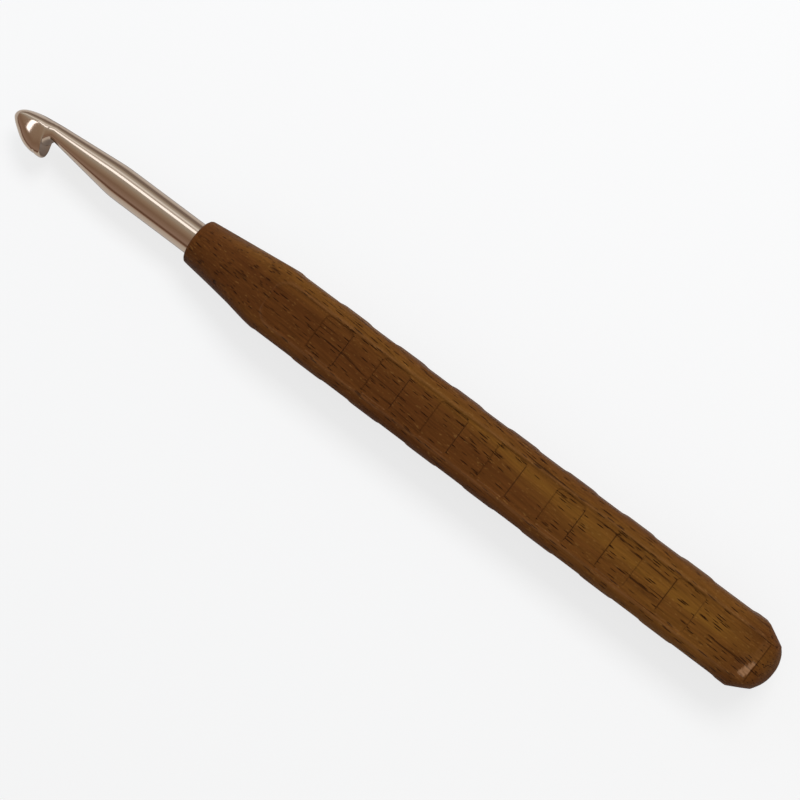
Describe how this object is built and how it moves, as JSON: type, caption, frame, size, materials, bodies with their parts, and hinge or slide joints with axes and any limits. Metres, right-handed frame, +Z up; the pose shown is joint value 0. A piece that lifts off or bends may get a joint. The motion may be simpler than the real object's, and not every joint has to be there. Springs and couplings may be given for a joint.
{
  "type": "crochet hook",
  "caption": "Crochet hook with a tapered metal head and shank set into a square wooden handle with a chequered relief, a swelling neck and a domed, chamfered butt.",
  "frame": {"origin": "on the table under the middle of the tool: half way between the tip of the hook and the butt of the handle, on the axis of the shank seen from above", "axes": "+X runs from the tip of the hook to the butt of the handle, the throat of the hook opens towards -Y, and +Z is up as the tool lies on a table"},
  "size_m": [0.1574, 0.0122, 0.0122],
  "materials": {
    "hook_metal": "polished metal with a warm, slightly pink tone",
    "handle_wood": "oiled walnut with open dark pores, satin",
    "bond": "cured clear amber adhesive"
  },
  "bodies": {
    "root": {"metal_hook": "hook_metal", "handle": "handle_wood", "adhesive_bond": "bond"}
  },
  "joints": []
}
